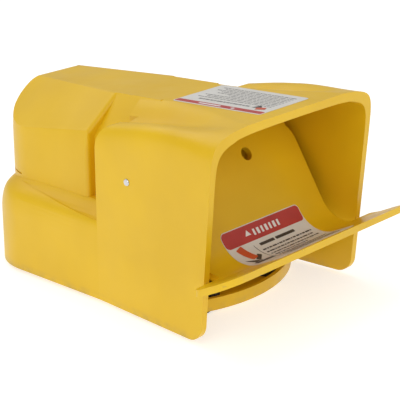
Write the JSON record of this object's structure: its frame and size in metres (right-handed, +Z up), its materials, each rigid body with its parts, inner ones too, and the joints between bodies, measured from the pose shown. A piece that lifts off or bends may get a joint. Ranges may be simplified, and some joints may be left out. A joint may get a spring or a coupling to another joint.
{
  "type": "guarded foot switch",
  "caption": "Cast foot-operated switch with a full hood, flared guard walls, a toe-lift gate with a wide lip, a sprung treadle and a snap-switch chamber.",
  "frame": {"origin": "centre of the four floor-mounting holes at the floor plane", "axes": "+Z up, +Y the way the toe goes in, +X to the right seen from the open front"},
  "size_m": [0.192, 0.264, 0.1446],
  "materials": {
    "safety_yellow": "satin powder coat on cast aluminium",
    "safety_yellow_base": "satin powder coat on cast aluminium",
    "pedal_yellow": "satin powder coat",
    "black_rubber": "matt",
    "zinc_steel": "zinc plated",
    "zinc_plate": "zinc plated sheet",
    "bright_steel": "ground bright",
    "spring_steel": "drawn wire",
    "black_steel": "black oxide",
    "bronze": "sintered, oil filled",
    "nylon_white": "moulded",
    "black_moulding": "moulded",
    "red_plunger": "moulded",
    "brass": "plain",
    "green_screw": "green passivated",
    "label_print": "printed film"
  },
  "bodies": {
    "housing": {"shield_housing": "safety_yellow", "base_plate": "safety_yellow_base", "base_gasket": "black_rubber", "housing_screws": "zinc_steel", "rubber_feet": "black_rubber", "foot_screws": "zinc_steel", "pedal_bumpers": "black_rubber", "shaft_bushings": "bronze", "gate_pin": "bright_steel", "gate_pin_clips": "spring_steel", "pedal_springs": "spring_steel", "gate_spring": "spring_steel", "switch_body_left": "black_moulding", "switch_body_right": "black_moulding", "terminal_clamps": "brass", "terminal_screws": "zinc_steel", "switch_bracket": "zinc_plate", "switch_screws": "zinc_steel", "switch_nuts": "zinc_steel", "bracket_screws": "zinc_steel", "ground_screw": "green_screw", "top_label": "label_print"},
    "gate": {"safety_gate": "safety_yellow", "gate_bushings": "nylon_white", "gate_label": "label_print"},
    "pedal": {"pedal": "pedal_yellow", "tread_pad": "black_rubber", "pedal_shaft": "bright_steel", "shaft_rings": "spring_steel", "hub_set_screws": "black_steel", "adjusting_screws": "zinc_steel", "adjusting_nuts": "zinc_steel"},
    "plunger_left": {"plunger_left": "red_plunger"},
    "plunger_right": {"plunger_right": "red_plunger"}
  },
  "joints": [
    {"name": "gate_hinge", "type": "hinge", "parent": "housing", "child": "gate", "pos_m": [0, -0.06, 0.096], "axis": [-1, 0, 0], "range_deg": [0, 45], "stiffness_Nm_per_rad": 0.12, "springref_deg": -20.05},
    {"name": "pedal_hinge", "type": "hinge", "parent": "housing", "child": "pedal", "pos_m": [0, 0.005, 0.03], "axis": [1, 0, 0], "range_deg": [0, 8], "stiffness_Nm_per_rad": 6, "springref_deg": -6.88, "deforming": ["pedal_springs"]},
    {"name": "plunger_left_slide", "type": "slide", "parent": "housing", "child": "plunger_left", "axis": [0, 0, 1], "range_m": [0, 0.0031]},
    {"name": "plunger_right_slide", "type": "slide", "parent": "housing", "child": "plunger_right", "axis": [0, 0, 1], "range_m": [0, 0.0031]}
  ],
  "couplings": [
    {"joint": "plunger_left_slide", "follows": "pedal_hinge", "m_per_rad": 0.0219},
    {"joint": "plunger_right_slide", "follows": "pedal_hinge", "m_per_rad": 0.0219}
  ]
}
